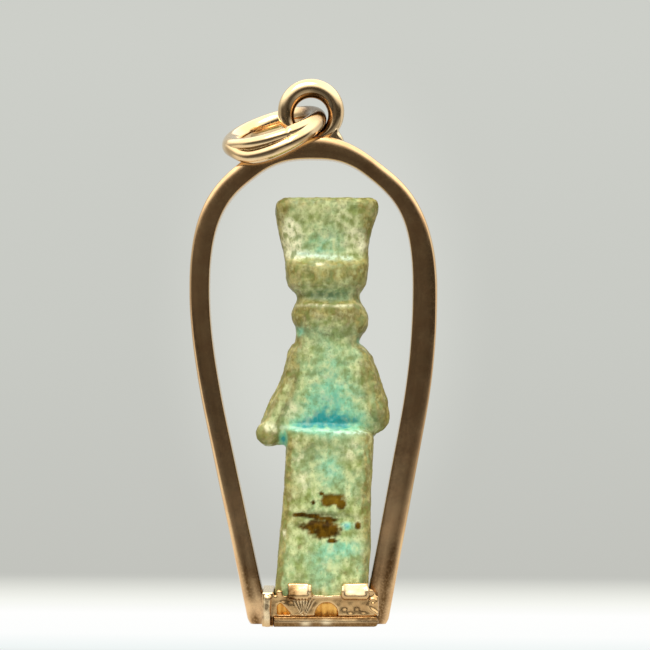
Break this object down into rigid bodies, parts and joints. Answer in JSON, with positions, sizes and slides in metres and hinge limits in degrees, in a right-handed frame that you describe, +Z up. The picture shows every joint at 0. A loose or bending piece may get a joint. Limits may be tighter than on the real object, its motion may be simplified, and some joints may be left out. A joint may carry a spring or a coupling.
{
  "type": "faience amulet in a gold pendant mount",
  "caption": "Worn faience amulet of a seated deity on a block throne, held in a gold claw setting under a half-round arch with a bail and a loose jump ring.",
  "frame": {"origin": "on the flat underside of the base plate, below the middle of the figure's foot", "axes": "+Z up through the figure to the bail; +X to the right when the figure's back is faced; +Y the way the figure looks"},
  "size_m": [0.0163, 0.0073, 0.0358],
  "materials": {
    "faience": "worn pale green glaze with turquoise pools, olive body and brown stains",
    "gold": "polished rose-yellow gold with fine wear"
  },
  "bodies": {
    "root": {"faience_figure": "faience", "gold_arch": "gold", "bail_loop": "gold", "jump_ring": "gold", "base_plate": "gold", "claw_setting": "gold"}
  },
  "joints": []
}
